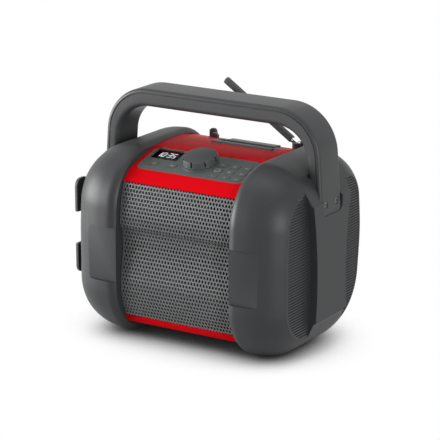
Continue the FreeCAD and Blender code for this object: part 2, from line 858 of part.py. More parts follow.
def display_module():
    u0, u1, v0, v1 = display_box
    top = -panel_thick - 0.4
    return slope_plate(max(u0, -board_half) + 2.5, u1 - 2.0, v0 + 2.0, min(v1, 18.8) - 0.5,
                       board_thick - board_depth, top)


def encoder_body():
    case = on_knob(box(-6.5, 6.5, -6.5, 6.5, -12.4, -6.0))
    bush = on_knob(rod(bush_radius, 8.0, V(0, 0, -8.0), Z_AXIS))
    bore = on_knob(rod(shaft_radius + bore_play, 20, V(0, 0, shaft_bottom - gap), Z_AXIS))
    return case.fuse(bush).removeSplitter().cut(bore)


def encoder_shaft():
    return on_knob(rod(shaft_radius, shaft_top - shaft_bottom, V(0, 0, shaft_bottom), Z_AXIS))


def volume_knob():
    """Tapered knob with a slightly domed top and finger grooves round its rim."""
    rim = knob_height - knob_dome
    dome_radius = (knob_top_radius ** 2 + knob_dome ** 2) / (2 * knob_dome)
    cone = Part.makeCone(knob_radius, knob_top_radius, knob_height - knob_lift, V(0, 0, knob_lift), Z_AXIS)
    dome = Part.makeSphere(dome_radius, V(0, 0, knob_height - dome_radius))
    form = cone.common(dome)
    edge = [e for e in form.Edges if e.BoundBox.ZLength < 0.01 and abs(e.BoundBox.ZMax - rim) < 1.0]
    form = form.makeFillet(knob_edge, edge)
    cutters = []
    for i in range(knob_grooves):
        groove = box(knob_top_radius - knob_groove_depth, knob_radius + 3, -knob_groove_width / 2,
                     knob_groove_width / 2, knob_groove_foot, rim + knob_dome)
        groove.rotate(V(0, 0, 0), Z_AXIS, knob_groove_turn + 360.0 * i / knob_grooves)
        cutters.append(groove)
    cutters.append(rod(shaft_radius + bore_play, shaft_top + gap, V(0, 0, 0), Z_AXIS))
    cutters.append(rod(bush_radius + 1.5, 1.6, V(0, 0, 0), Z_AXIS))
    return on_knob(less(form, cutters))


# Handle

def handle_whole():
    outer, inner = leg_outline()
    half = handle_depth / 2
    big = prism(outer, [0, 0, handle_round, handle_round], in_xz(-half), V(0, 2 * half, 0))
    hole = prism(inner, [0, 0, handle_inner_round, handle_inner_round], in_xz(-half), V(0, 2 * half, 0))
    body = big.cut(hole)
    long_outer = []
    long_inner = []
    for edge in body.Edges:
        limits = edge.BoundBox
        middle = edge.valueAt(0.5 * (edge.FirstParameter + edge.LastParameter))
        if limits.YLength < 0.1:
            if abs(limits.ZMax - handle_foot_z) < 0.1:
                continue
            depth = outline_depth(middle.x, middle.z)
            (long_outer if depth < 1.0 else long_inner).append(edge)
    return body, long_outer, long_inner


def outline_depth(x, z):
    """How far a point of the handle's side lies inside the outer outline."""
    outer, _ = leg_outline()
    wire = rounded_wire(outer, [0, 0, handle_round, handle_round], in_xz(0))
    return wire.distToShape(Part.Vertex(V(x, 0, z)))[0]


def foot_rounder():
    """Block with the rounded lower corners of both feet."""
    half = handle_depth / 2
    corners = [(-half, handle_foot_z), (half, handle_foot_z), (half, handle_top + 5), (-half, handle_top + 5)]
    return prism(corners, [foot_round, foot_round, 0, 0], in_yz(-200), V(400, 0, 0))


def handle_core(inset, y0, y1):
    """Block inside the handle's outer outline, drawn in by the inset and open at the feet."""
    lean = (handle_foot_half - handle_top_half) / (handle_top - handle_foot_z)
    across = inset * sqrt(1 + lean ** 2)
    low = handle_foot_z - inset
    foot = handle_top_half + lean * (handle_top - low) - across
    top = handle_top_half + lean * inset - across
    corners = [(-foot, low), (foot, low), (top, handle_top - inset), (-top, handle_top - inset)]
    return prism(corners, [0, 0, handle_round - inset, handle_round - inset], in_xz(y0), V(0, y1 - y0, 0))


def handle_parts():
    body, long_outer, long_inner = handle_whole()
    rounded = body.makeFillet(strap_edge, long_outer)
    again = [e for e in rounded.Edges if e.BoundBox.YLength < 0.1 and any(
        e.BoundBox.Center.distanceToPoint(o.BoundBox.Center) < 0.5 for o in long_inner)]
    rounded = rounded.makeFillet(frame_edge, again)
    rounded = rounded.common(foot_rounder())
    half = handle_depth / 2
    core = handle_core(strap_thick, -half - 1, half + 1)
    seam = []
    for y0, y1 in ((-half - 1, -half + seam_depth), (half - seam_depth, half + 1)):
        ring = handle_core(strap_thick - seam_half, y0, y1)
        seam.append(ring.cut(handle_core(strap_thick + seam_half, y0, y1)))
    holes = list(seam)
    for side in (1, -1):
        for point in handle_screw_axis(side):
            outward = V(side, 0, 0)
            holes.append(rod(screw_core + 0.15, 40, point + outward * 5, outward * -1))
            holes.append(rod(screw_head + 0.3, 10, point + outward * -screw_head_height, outward))
    rounded = less(rounded, holes)
    return rounded.cut(core), rounded.common(core)


# Antenna

def antenna_direction():
    return V(-cos(radians(antenna_rest)), 0, sin(radians(antenna_rest)))


def antenna_whip():
    along = antenna_direction()
    return rod(antenna_radius, antenna_length - antenna_cap - antenna_start,
               antenna_pivot + along * antenna_start, along)


def antenna_tip():
    along = antenna_direction()
    start = antenna_pivot + along * (antenna_length - antenna_cap)
    body = rod(antenna_radius, antenna_cap, start, along)
    edge = [e for e in body.Edges if (e.CenterOfMass - start).Length > antenna_cap - 0.1]
    return body.makeFillet(1.6, edge)


def antenna_knuckle():
    along = antenna_direction()
    neck = rod(knuckle_radius, antenna_start, antenna_pivot, along)
    eye = rod(knuckle_radius, knuckle_width, antenna_pivot + V(0, -knuckle_width / 2, 0), Y_AXIS)
    slab = box(-20, 20, -knuckle_width / 2, knuckle_width / 2, -20, 20)
    slab.translate(antenna_pivot)
    bore = rod(antenna_pin_radius + bore_play, 20, antenna_pivot + V(0, -10, 0), Y_AXIS)
    lower = neck.common(slab)
    upper = neck.cut(rod(turret_radius + gap, 20, antenna_pivot + V(0, -10, 0), Y_AXIS))
    return eye.fuse(lower).fuse(upper).removeSplitter().cut(bore)


def antenna_turret():
    p = antenna_pivot
    seat = turret_floor + gap
    base = rod(turret_radius, p.z - knuckle_radius - 0.8 - seat, V(p.x, p.y, seat), Z_AXIS)
    spigot = rod(turret_radius - 2.0 - gap, skin + 2.0, V(p.x, p.y, seat - skin - 2.0), Z_AXIS)
    ears = rod(turret_radius, knuckle_radius + 0.8 + 2.6, V(p.x, p.y, p.z - knuckle_radius - 0.8), Z_AXIS)
    fork = box(p.x - 20, p.x + 20, p.y - knuckle_width / 2 - gap, p.y + knuckle_width / 2 + gap,
               p.z - knuckle_radius - 0.8, p.z + 10)
    pin_hole = rod(antenna_pin_radius + 0.02, 30, p + V(0, -15, 0), Y_AXIS)
    return base.fuse(spigot).fuse(ears.cut(fork)).removeSplitter().cut(pin_hole)


def antenna_pin():
    length = 2 * turret_radius - 2.6
    return rod(antenna_pin_radius, length, antenna_pivot + V(0, -length / 2, 0), Y_AXIS)


def clip_form(grow):
    """Everything above the let-in base of the clip, seen from above."""
    y = antenna_pivot.y
    a, b = clip_half[0] + grow, clip_half[1] + grow
    column = plate(clip_x - a, clip_x + a, y - b, y + b, 180, 220, 3.0 + grow)
    return column.cut(casing_form(clip_sink))


def jaw(ends, y, top):
    """Upright jaw with a rounded head, drawn from the side and as thick as the clip's jaws."""
    x0, x1 = clip_x + ends[0], clip_x + ends[1]
    corners = [(x0, casing_low), (x1, casing_low), (x1, top), (x0, top)]
    return prism(corners, [0, 0, clip_head, clip_head], in_xz(y), V(0, clip_jaw, 0))


def antenna_clip():
    """Two staggered jaws on one base that is let into the red cover."""
    y = antenna_pivot.y
    inner = antenna_radius + gap
    base = clip_form(0.0).common(casing_form())
    front_jaw = jaw(clip_front, y - inner - clip_jaw, clip_tops[0])
    rear_jaw = jaw(clip_rear, y + inner, clip_tops[1])
    inside = casing_form(clip_sink)
    return fused([base, front_jaw.cut(inside), rear_jaw.cut(inside)])


# Phone holder

def phone_tray():
    block = box(holder_left, holder_right, lip_front - 0.4, flap_back + 1.0, groove_floor - 2.5, 206)
    flange = box(holder_left - holder_flange, holder_right + holder_flange, lip_front - holder_flange,
                 flap_back + holder_flange, groove_floor - 2.5, 206)
    block = block.common(casing_form()).fuse(flange.common(casing_form(skin))).removeSplitter()
    groove = box(lip_ends[0] + 3, lip_ends[1] - 4, groove_front, groove_back, groove_floor, 215)
    lip_seat = box(lip_ends[0] - slip, lip_ends[1] + slip, lip_front, groove_front, flap_bottom, 215)
    flap_seat = box(flap_ends[0] - gap, flap_ends[1] + gap, groove_back, flap_back + gap, flap_bottom - gap, 215)
    finger = box(lip_ends[0] + 3, flap_ends[0] + 1, groove_back - 1, groove_back + 7, groove_floor + 3, 215)
    pin_hole = rod(flap_pin_radius + 0.02, flap_ends[1] - flap_ends[0] + 9,
                   V(flap_ends[0] - 4.5, flap_hinge_y(), flap_hinge_z()), X_AXIS)
    turret_room = rod(turret_radius, 40, V(antenna_pivot.x, antenna_pivot.y, 180), Z_AXIS)
    return less(block, [groove, lip_seat, flap_seat, finger, pin_hole, turret_room])


def flap_hinge_y():
    return groove_back + 0.3 + flap_thick / 2


def flap_hinge_z():
    return flap_bottom + flap_thick / 2


def phone_lip():
    y0, y1 = lip_front, groove_front
    z0 = flap_bottom
    corners = [(y0, z0), (y1, z0), (y1, lip_top), (y0, lip_top)]
    return prism(corners, [0, 0, 3.6, 3.6], in_yz(lip_ends[0]), V(lip_ends[1] - lip_ends[0], 0, 0))


def phone_flap():
    y0 = groove_back + 0.3
    z0, z1 = flap_bottom, flap_bottom + flap_thick
    r = flap_thick / 2 - 0.25
    corners = [(y0, z0), (flap_back, z0), (flap_back, z1 - 1.4), (y0, z1)]
    leaf = prism(corners, [r, 0.6, 0.6, r], in_yz(flap_ends[0]), V(flap_ends[1] - flap_ends[0], 0, 0))
    bore = rod(flap_pin_radius + bore_play, 200, V(-100, flap_hinge_y(), flap_hinge_z()), X_AXIS)
    return leaf.cut(bore)


def flap_pin():
    return rod(flap_pin_radius, flap_ends[1] - flap_ends[0] + 8,
               V(flap_ends[0] - 4, flap_hinge_y(), flap_hinge_z()), X_AXIS)


# Boards, ports and heat sink

def main_board():
    z0, z1 = main_board_z
    return box(-main_board_half, main_board_half, main_board_y, main_board_y + board_thick, z0, z1)


def heat_sink():
    back = main_board_y
    base = box(-24, 16, back - 3, back, 104, 140)
    fins = [box(-24 + i * 6.5, -24 + i * 6.5 + 1.6, back - 14, back - 2.9, 104, 140) for i in range(7)]
    whole = base
    for fin in fins:
        whole = whole.fuse(fin)
    return whole.removeSplitter()


def port_reach():
    return rear_points[1][0] - bay_depth + 0.6 - main_board_y - board_thick


def dc_inlet():
    start = V(port_x(0), main_board_y + board_thick, port_z())
    end = start + V(0, port_reach(), 0)
    barrel = rod(5.0, port_reach(), start, Y_AXIS)
    bore = rod(2.9, 9.0, end + V(0, 0.01, 0), V(0, -1, 0))
    return barrel.cut(bore).fuse(rod(1.0, 8.0, end + V(0, -0.8, 0), V(0, -1, 0)).fuse(
        rod(1.0, 1.0, end + V(0, -8.8, 0), V(0, -1, 0)))).removeSplitter()


def usb_socket():
    y0 = main_board_y + board_thick
    x, z = port_x(1), port_z()
    y1 = y0 + port_reach()
    shell = box(x - 4.6, x + 4.6, y0, y1, z - 1.9, z + 1.9)
    hole = box(x - 4.2, x + 4.2, y1 - 7, y1 + 1, z - 1.5, z + 1.5)
    tongue_solid = box(x - 3.4, x + 3.4, y1 - 7.5, y1 - 1, z - 0.35, z + 0.35)
    return shell.cut(hole).fuse(tongue_solid)


def audio_socket():
    start = V(port_x(2), main_board_y + board_thick, port_z())
    end = start + V(0, port_reach(), 0)
    return rod(4.0, port_reach(), start, Y_AXIS).cut(rod(1.8, 9.0, end + V(0, 0.01, 0), V(0, -1, 0)))


# Cord hooks and foot pads

def cord_hook(z_range, stem_low):
    """L-shaped hook: a stem out of the side and a plate that points away from the middle."""
    z0, z1 = z_range
    stem_z = (z0, z0 + hook_stem) if stem_low else (z1 - hook_stem, z1)
    corners = [(hook_y[0], z0), (hook_y[1], z0), (hook_y[1], z1), (hook_y[0], z1)]
    far, near = [hook_round] * 2, [hook_edge] * 2
    plate_solid = prism(corners, near + far if stem_low else far + near, in_yz(-half_length),
                        V(hook_plate, 0, 0))
    stem = box(-half_length + hook_plate - 1, -zone_x, hook_y[0] + 5, hook_y[1] - 2, stem_z[0], stem_z[1])
    return plate_solid.fuse(stem).removeSplitter()


def cord_hooks():
    return Part.makeCompound([cord_hook(hook_upper_z, True), cord_hook(hook_lower_z, False)])


def foot_pads():
    found = []
    for side in (1, -1):
        for y in pad_y:
            pad = plate(pad_x[0] + slip, pad_x[1] - slip, y - pad_length / 2 + slip,
                        y + pad_length / 2 - slip, foot_height - pad_stand, foot_height + pad_seat,
                        pad_round - slip)
            found.append(pad if side > 0 else mirrored(pad))
    return Part.makeCompound(found)


def build():
    parts = {}
    for name, side in (("right", 1), ("left", -1)):
        parts[name + "_bumper"] = bumper(side)
        front, rear = rib_panels(side)
        parts[name + "_front_rib_panel"] = front
        parts[name + "_rear_rib_panel"] = rear
    parts["top_cover"] = top_cover()
    parts["rear_panel"] = rear_panel()
    parts["bottom_tray"] = bottom_tray()
    parts["front_grille"] = front_grille()
    parts["grille_cloth"] = grille_cloth()
    parts["baffle"] = baffle()
    parts["woofer_basket"] = woofer_basket()
    parts["woofer_surround"] = woofer_surround()
    parts["woofer_cone"] = woofer_cone()
    parts["woofer_magnet"] = woofer_magnet()
    parts["woofer_screws"] = woofer_screws()
    parts["control_panel"] = control_panel()
    for name, (u, v) in zip(key_names, key_places()):
        parts[name] = key(u, v)
    parts["control_board"] = control_board()
    parts["display_lens"] = display_lens()
    parts["display_module"] = display_module()
    parts["encoder_body"] = encoder_body()
    parts["encoder_shaft"] = encoder_shaft()
    parts["volume_knob"] = volume_knob()
    strap, frame = handle_parts()
    parts["handle_strap"] = strap
    parts["handle_frame"] = frame
    parts["handle_screws"] = handle_screws()
    parts["antenna_whip"] = antenna_whip()
    parts["antenna_tip"] = antenna_tip()
    parts["antenna_knuckle"] = antenna_knuckle()
    parts["antenna_turret"] = antenna_turret()
    parts["antenna_pin"] = antenna_pin()
    parts["antenna_clip"] = antenna_clip()
    parts["phone_tray"] = phone_tray()
    parts["phone_lip"] = phone_lip()
    parts["phone_flap"] = phone_flap()
    parts["phone_flap_pin"] = flap_pin()
    parts["port_flap"] = port_flap()
    parts["port_flap_pin"] = flap_hinge_pin()
    parts["dc_inlet"] = dc_inlet()
    parts["usb_socket"] = usb_socket()
    parts["audio_socket"] = audio_socket()
    parts["main_board"] = main_board()
    parts["heat_sink"] = heat_sink()
    parts["battery_cells"] = battery_cells()
    parts["battery_holder"] = battery_holder()
    parts["battery_door"] = battery_door()
    parts["cord_hooks"] = cord_hooks()
    parts["foot_pads"] = foot_pads()
    return parts


key_names = ["power_key", "source_key", "bass_key", "light_key", "pair_key", "play_key",
             "previous_key", "next_key", "preset_one_key", "preset_two_key", "preset_three_key"]

# The heights above are counted from the casing's own datum, so everything is lifted onto its pads
os.makedirs("parts", exist_ok=True)
for node, shape in build().items():
    shape.translate(V(0, 0, pad_stand - foot_height))
    shape.exportStep("parts/" + node + ".step")
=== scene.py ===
import json
from math import cos, hypot, radians, sin

import bmesh
import bpy
from mathutils import Matrix, Vector

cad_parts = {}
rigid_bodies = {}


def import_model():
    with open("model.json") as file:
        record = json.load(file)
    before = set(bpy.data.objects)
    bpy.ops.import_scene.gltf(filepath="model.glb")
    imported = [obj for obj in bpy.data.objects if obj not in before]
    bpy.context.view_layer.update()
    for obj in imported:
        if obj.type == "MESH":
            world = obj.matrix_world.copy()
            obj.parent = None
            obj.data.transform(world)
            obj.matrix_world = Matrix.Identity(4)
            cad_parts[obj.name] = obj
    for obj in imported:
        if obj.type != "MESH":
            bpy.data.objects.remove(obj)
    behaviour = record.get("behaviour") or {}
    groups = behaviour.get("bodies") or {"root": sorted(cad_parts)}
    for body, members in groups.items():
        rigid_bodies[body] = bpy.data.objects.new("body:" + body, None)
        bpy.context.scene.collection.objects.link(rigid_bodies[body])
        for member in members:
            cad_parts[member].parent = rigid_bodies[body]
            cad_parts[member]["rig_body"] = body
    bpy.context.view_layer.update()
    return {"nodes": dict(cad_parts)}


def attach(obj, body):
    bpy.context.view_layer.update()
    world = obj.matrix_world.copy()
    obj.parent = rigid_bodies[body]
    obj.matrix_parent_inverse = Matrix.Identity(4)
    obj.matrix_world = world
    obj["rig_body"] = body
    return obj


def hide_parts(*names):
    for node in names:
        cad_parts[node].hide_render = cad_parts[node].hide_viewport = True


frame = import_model()

# Camera: a long lens from the front right, a little above the radio,
# so that its edges stay nearly parallel. The casing's datum is its height above the ground,
# and the heights in all sections are counted from it.
datum = 0.0132
camera_place = (1.3162, -2.0990, 0.8243 + datum)
camera_dip = 15.87
camera_turn = 32.1


def placed(name, data):
    """Put a lens, a lamp, the floor or a piece of the radio into the scene."""
    thing = bpy.data.objects.new(name, data)
    bpy.context.scene.collection.objects.link(thing)
    return thing


lens = bpy.data.cameras.new("camera")
lens.lens = 183.3
lens.sensor_width = 36.0
lens.clip_end = 20.0
camera = placed("camera", lens)
camera.location = camera_place
camera.rotation_euler = (radians(90.0 - camera_dip), 0.0, radians(camera_turn))
bpy.context.scene.camera = camera
bpy.context.scene.view_settings.view_transform = "Standard"

# Studio floor and sky: one white sheet that the radio stands on, with the same white above it.
# Camera, mirror and glass rays see both as paper white, and on the floor they see a painted shadow
# around the radio, darkest where the radio touches it, drawn by ambient occlusion. Other rays meet
# a grey floor that takes the lamps' real shadow.
floor_half = 12.0
white = (1.0, 1.0, 1.0, 1.0)
floor_tone = (0.24, 0.24, 0.24, 1.0)
painted_shadow_tone = (0.006, 0.006, 0.006, 1.0)
painted_shadow_reach = 0.11
painted_shadow_from, painted_shadow_to = 0.04, 0.76
sky_strength = 0.30
floor_mesh = bpy.data.meshes.new("studio_floor")
shape = bmesh.new()
bmesh.ops.create_grid(shape, x_segments=1, y_segments=1, size=floor_half)
shape.to_mesh(floor_mesh)
shape.free()
floor = placed("studio_floor", floor_mesh)


def new_material(name):
    """A node material, its tree and its Principled shader."""
    material = bpy.data.materials.new(name)
    material.use_nodes = True
    tree = material.node_tree
    return material, tree, tree.nodes["Principled BSDF"]


def join(tree, source, target):
    tree.links.new(source, target)


def shown_apart(tree, lighting, shown, output):
    """Camera, mirror and glass rays meet the shown shader, and all others the lighting one."""
    rays = tree.nodes.new("ShaderNodeLightPath")
    mirrored = tree.nodes.new("ShaderNodeMath")
    mirrored.operation = "MAXIMUM"
    seen = tree.nodes.new("ShaderNodeMath")
    seen.operation = "MAXIMUM"
    blend = tree.nodes.new("ShaderNodeMixShader")
    join(tree, rays.outputs["Is Glossy Ray"], mirrored.inputs[0])
    join(tree, rays.outputs["Is Transmission Ray"], mirrored.inputs[1])
    join(tree, rays.outputs["Is Camera Ray"], seen.inputs[0])
    join(tree, mirrored.outputs[0], seen.inputs[1])
    join(tree, seen.outputs[0], blend.inputs["Fac"])
    join(tree, lighting.outputs[0], blend.inputs[1])
    join(tree, shown.outputs[0], blend.inputs[2])
    join(tree, blend.outputs[0], output.inputs["Surface"])


paper, tree, shader = new_material("paper_floor")
shader.inputs["Base Color"].default_value = floor_tone
shader.inputs["Roughness"].default_value = 1.0
shader.inputs["Specular IOR Level"].default_value = 0.0
# Painted shadow: the white that camera, mirror and glass rays see is darkened by ambient occlusion
# near the radio.
near = tree.nodes.new("ShaderNodeAmbientOcclusion")
near.samples = 16
near.inputs["Distance"].default_value = painted_shadow_reach
deepen = tree.nodes.new("ShaderNodeMapRange")
deepen.interpolation_type = "SMOOTHSTEP"
deepen.inputs["From Min"].default_value = painted_shadow_from
deepen.inputs["From Max"].default_value = painted_shadow_to
painted_shadow_mix = tree.nodes.new("ShaderNodeMix")
painted_shadow_mix.data_type = "RGBA"
painted_shadow_mix.inputs[6].default_value = painted_shadow_tone
painted_shadow_mix.inputs[7].default_value = white
glow = tree.nodes.new("ShaderNodeEmission")
glow.inputs["Strength"].default_value = 1.0
join(tree, near.outputs["AO"], deepen.inputs["Value"])
join(tree, deepen.outputs[0], painted_shadow_mix.inputs["Factor"])
join(tree, painted_shadow_mix.outputs[2], glow.inputs["Color"])
shown_apart(tree, shader, glow, tree.nodes["Material Output"])
floor_mesh.materials.append(paper)

world = bpy.data.worlds.new("studio_sky")
bpy.context.scene.world = world
world.use_nodes = True
tree = world.node_tree
sky = tree.nodes["Background"]
sky.inputs["Color"].default_value = white
sky.inputs["Strength"].default_value = sky_strength
backdrop = tree.nodes.new("ShaderNodeBackground")
backdrop.inputs["Color"].default_value = white
backdrop.inputs["Strength"].default_value = 1.0
shown_apart(tree, sky, backdrop, tree.nodes["World Output"])

# Studio lamps: a soft box at the left, another overhead, and a tall strip at the right front
# that draws the highlight down the rounding of the near bumper. The front itself stays dim.
lamp_aim = Vector((0.0, 0.0, 0.12))


def soft_box(name, place, width, height, power):
    """A rectangular area lamp that faces the middle of the radio."""
    light = bpy.data.lights.new(name, "AREA")
    light.shape = "RECTANGLE"
    light.size = width
    light.size_y = height
    light.energy = power
    lamp = placed(name, light)
    lamp.location = place
    lamp.rotation_euler = (lamp_aim - Vector(place)).to_track_quat("-Z", "Y").to_euler()


soft_box("left_box", (-1.95, -0.90, 0.34), width=1.5, height=1.1, power=95.0)
soft_box("top_box", (0.0, 0.0, 2.3), width=1.7, height=1.0, power=12.5)
soft_box("right_strip", (1.95, -1.05, 0.50), width=0.4, height=1.0, power=26.0)

# End bumpers: two thick mouldings of matte charcoal rubber over a hard shell, which plug over
# the ends of the casing. Their skin has the fine spark-eroded grain of an injection mould, which
# the other moulded pieces share: a height for the bump, and a slow cloud for colour and roughness.
bump_height = 0.0002
weld_reach = 0.000002
flat_angle = 0.4


def grain_group():
    """The mould's grain, as a height and a cloud between 0 and 1."""
    group = bpy.data.node_groups.new("mould_grain", "ShaderNodeTree")
    face = group.interface
    for label, value in (("Size", 900.0), ("Cloud Size", 14.0)):
        socket = face.new_socket(name=label, in_out="INPUT", socket_type="NodeSocketFloat")
        socket.default_value = value
    for label in ("Height", "Cloud"):
        face.new_socket(name=label, in_out="OUTPUT", socket_type="NodeSocketFloat")
    feed = group.nodes.new("NodeGroupInput")
    result = group.nodes.new("NodeGroupOutput")
    place = group.nodes.new("ShaderNodeTexCoord")
    fine = group.nodes.new("ShaderNodeTexNoise")
    fine.inputs["Detail"].default_value = 2.0
    cloud = group.nodes.new("ShaderNodeTexNoise")
    cloud.inputs["Detail"].default_value = 4.0
    cloud.inputs["Roughness"].default_value = 0.6
    for texture, label in ((fine, "Size"), (cloud, "Cloud Size")):
        join(group, place.outputs["Object"], texture.inputs["Vector"])
        join(group, feed.outputs[label], texture.inputs["Scale"])
    join(group, fine.outputs["Fac"], result.inputs["Height"])
    join(group, cloud.outputs["Fac"], result.inputs["Cloud"])
    return group


mould_grain = grain_group()


def moulded(name, dark, light, rough, grain=900.0, depth=0.12, cloud=14.0, metal=0.0, gloss=0.5):
    """Plastic, rubber or metal: two close tones, a narrow range of roughness and a grain."""
    material, tree, shader = new_material(name)
    texture = tree.nodes.new("ShaderNodeGroup")
    texture.node_tree = mould_grain
    texture.inputs["Size"].default_value = grain
    texture.inputs["Cloud Size"].default_value = cloud
    tone = tree.nodes.new("ShaderNodeMix")
    tone.data_type = "RGBA"
    tone.inputs[6].default_value = (*dark, 1.0)
    tone.inputs[7].default_value = (*light, 1.0)
    sheen = tree.nodes.new("ShaderNodeMapRange")
    sheen.inputs["To Min"].default_value = rough[0]
    sheen.inputs["To Max"].default_value = rough[1]
    bump = tree.nodes.new("ShaderNodeBump")
    bump.inputs["Strength"].default_value = depth
    bump.inputs["Distance"].default_value = bump_height
    join(tree, texture.outputs["Cloud"], tone.inputs["Factor"])
    join(tree, tone.outputs[2], shader.inputs["Base Color"])
    join(tree, texture.outputs["Cloud"], sheen.inputs["Value"])
    join(tree, sheen.outputs[0], shader.inputs["Roughness"])
    join(tree, texture.outputs["Height"], bump.inputs["Height"])
    join(tree, bump.outputs[0], shader.inputs["Normal"])
    shader.inputs["Metallic"].default_value = metal
    shader.inputs["Specular IOR Level"].default_value = gloss
    return material


def finished(piece, node, material):
    """Hang a new piece on the body that carries a node, and let it stand for that node."""
    piece.data.materials.clear()
    piece.data.materials.append(material)
    body = frame["nodes"][node]["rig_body"]
    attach(piece, body)
    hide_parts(node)


def moulding(node, material, edge, crease=30.0, rounds=2):
    """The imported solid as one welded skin, smooth but for its creases, with its edges eased."""
    skin = frame["nodes"][node].data.copy()
    shape = bmesh.new()
    shape.from_mesh(skin)
    bmesh.ops.remove_doubles(shape, verts=shape.verts, dist=weld_reach)
    bmesh.ops.dissolve_limit(shape, angle_limit=radians(flat_angle), verts=shape.verts,
                             edges=shape.edges, use_dissolve_boundaries=False)
    for side in shape.faces:
        side.smooth = True
    for line in shape.edges:
        line.smooth = line.calc_face_angle(0.0) < radians(crease)
    shape.to_mesh(skin)
    shape.free()
    skin.name = node + "_skin"
    piece = placed(node + "_skin", skin)
    bevel = piece.modifiers.new("eased_edges", "BEVEL")
    bevel.width = edge
    bevel.segments = rounds
    bevel.limit_method = "ANGLE"
    bevel.angle_limit = radians(crease)
    bevel.harden_normals = True
    finished(piece, node, material)


bumper_rubber = moulded("bumper_rubber", (0.029, 0.030, 0.032), (0.034, 0.035, 0.037),
                        rough=(0.43, 0.50), grain=1100.0, depth=0.10, gloss=0.3)
for side in ("left_bumper", "right_bumper"):
    moulding(side, bumper_rubber, edge=0.0009, crease=32.0, rounds=3)

# Ribbed panels: treads of soft rubber with close level ribs, moulded apart
# and let into the four D-shaped zones of the bumpers.
rib_rubber = moulded("rib_rubber", (0.034, 0.035, 0.037), (0.040, 0.041, 0.044),
                     rough=(0.42, 0.50), grain=1200.0, depth=0.10, gloss=0.3)


def coloured(material, *names):
    """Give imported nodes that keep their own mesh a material."""
    for name in names:
        holder = frame["nodes"][name]
        for place in holder.material_slots:
            place.material = material


coloured(rib_rubber, "left_front_rib_panel", "left_rear_rib_panel", "right_front_rib_panel",
         "right_rear_rib_panel")

# Front grille: one sheet of perforated steel, pressed so that its middle band sits back,
# and painted silver grey. The tall oval holes stand in staggered rows.
grille_pitch = 0.00407
grille_hole = 0.00150
hole_stretch = 1.31
grille_half = 0.0743
grille_sheet = 0.0008
grille_hem = 0.0005
grille_crease = 40.0
cell_weld = 0.00002
cut_reach = 0.000001
cheek_rear = -0.0781
grille_bends = [(-0.0848, 0.0174), (-0.0934, 0.0400), (-0.0956, 0.0620), (-0.0896, 0.0940),
                (-0.0892, 0.1195), (-0.0956, 0.1272), (-0.0932, 0.1520), (-0.0862, 0.1751)]


def softened(line, times):
    """The same line with every corner cut a few times, so that it bends and no longer folds."""
    for _ in range(times):
        cut = [line[0]]
        for (ay, az), (by, bz) in zip(line, line[1:]):
            cut += [(0.75 * ay + 0.25 * by, 0.75 * az + 0.25 * bz),
                    (0.25 * ay + 0.75 * by, 0.25 * az + 0.75 * bz)]
        line = cut + [line[-1]]
    return line


grille_line = [(y, datum + z) for y, z in softened(grille_bends, 3)]
runs = [hypot(b[0] - a[0], b[1] - a[1]) for a, b in zip(grille_line, grille_line[1:])]
grille_length = sum(runs)


def on_grille(along):
    """Point (y, z) of the pressed sheet at a length from its lower edge."""
    for (a, b), run in zip(zip(grille_line, grille_line[1:]), runs):
        if along <= run:
            break
        along -= run
    share = along / run
    return a[0] + (b[0] - a[0]) * share, a[1] + (b[1] - a[1]) * share


def points_of(geometry):
    """The points among the items that an operator returns."""
    return [item for item in geometry if isinstance(item, bmesh.types.BMVert)]


def all_of(shape):
    return shape.verts[:] + shape.edges[:] + shape.faces[:]


def turned(shape, angle, points):
    """Turn flat points about the middle of the sheet."""
    turn = Matrix.Rotation(radians(angle), 3, "Z")
    bmesh.ops.rotate(shape, cent=(0, 0, 0), matrix=turn, verts=points)


sheet = bmesh.new()
bmesh.ops.create_circle(sheet, segments=6, radius=grille_pitch / 2 / cos(radians(30)))
turned(sheet, 30, sheet.verts)
bmesh.ops.subdivide_edges(sheet, edges=sheet.edges, cuts=1)
bmesh.ops.create_circle(sheet, segments=12, radius=grille_hole)
bmesh.ops.bridge_loops(sheet, edges=sheet.edges)
bmesh.ops.scale(sheet, vec=(1, hole_stretch, 1), verts=sheet.verts)
row_rise = grille_pitch * sin(radians(60)) * hole_stretch
across = int(grille_half / grille_pitch) + 1
cell = all_of(sheet)
bmesh.ops.translate(sheet, vec=(-across * grille_pitch, 0, 0), verts=sheet.verts)
for step in range(1, 2 * across + 1):
    copy = bmesh.ops.duplicate(sheet, geom=cell)["geom"]
    bmesh.ops.translate(sheet, vec=(step * grille_pitch, 0, 0), verts=points_of(copy))
row = all_of(sheet)
for step in range(1, int(grille_length / row_rise) + 2):
    copy = bmesh.ops.duplicate(sheet, geom=row)["geom"]
    stagger = grille_pitch / 2 * (step % 2)
    bmesh.ops.translate(sheet, vec=(stagger, step * row_rise, 0), verts=points_of(copy))
bmesh.ops.remove_doubles(sheet, verts=sheet.verts, dist=cell_weld)
grille_edges = [((-grille_half, 0, 0), (-1, 0, 0)),
                ((grille_half, 0, 0), (1, 0, 0)),
                ((0, grille_hem, 0), (0, -1, 0)),
                ((0, grille_length - grille_hem, 0), (0, 1, 0))]
for edge_point, outward in grille_edges:
    bmesh.ops.bisect_plane(sheet, geom=all_of(sheet), dist=cut_reach, plane_co=edge_point,
                           plane_no=outward, clear_outer=True)
for point in sheet.verts:
    y, z = on_grille(point.co.y)
    point.co = (point.co.x, y, z)
bmesh.ops.recalc_face_normals(sheet, faces=sheet.faces)
if sum(side.normal.y for side in sheet.faces) > 0:
    bmesh.ops.reverse_faces(sheet, faces=sheet.faces)
bmesh.ops.solidify(sheet, geom=sheet.faces[:], thickness=grille_sheet)
for side in sheet.faces:
    side.smooth = True
for line in sheet.edges:
    line.smooth = line.calc_face_angle(0.0) < radians(grille_crease)
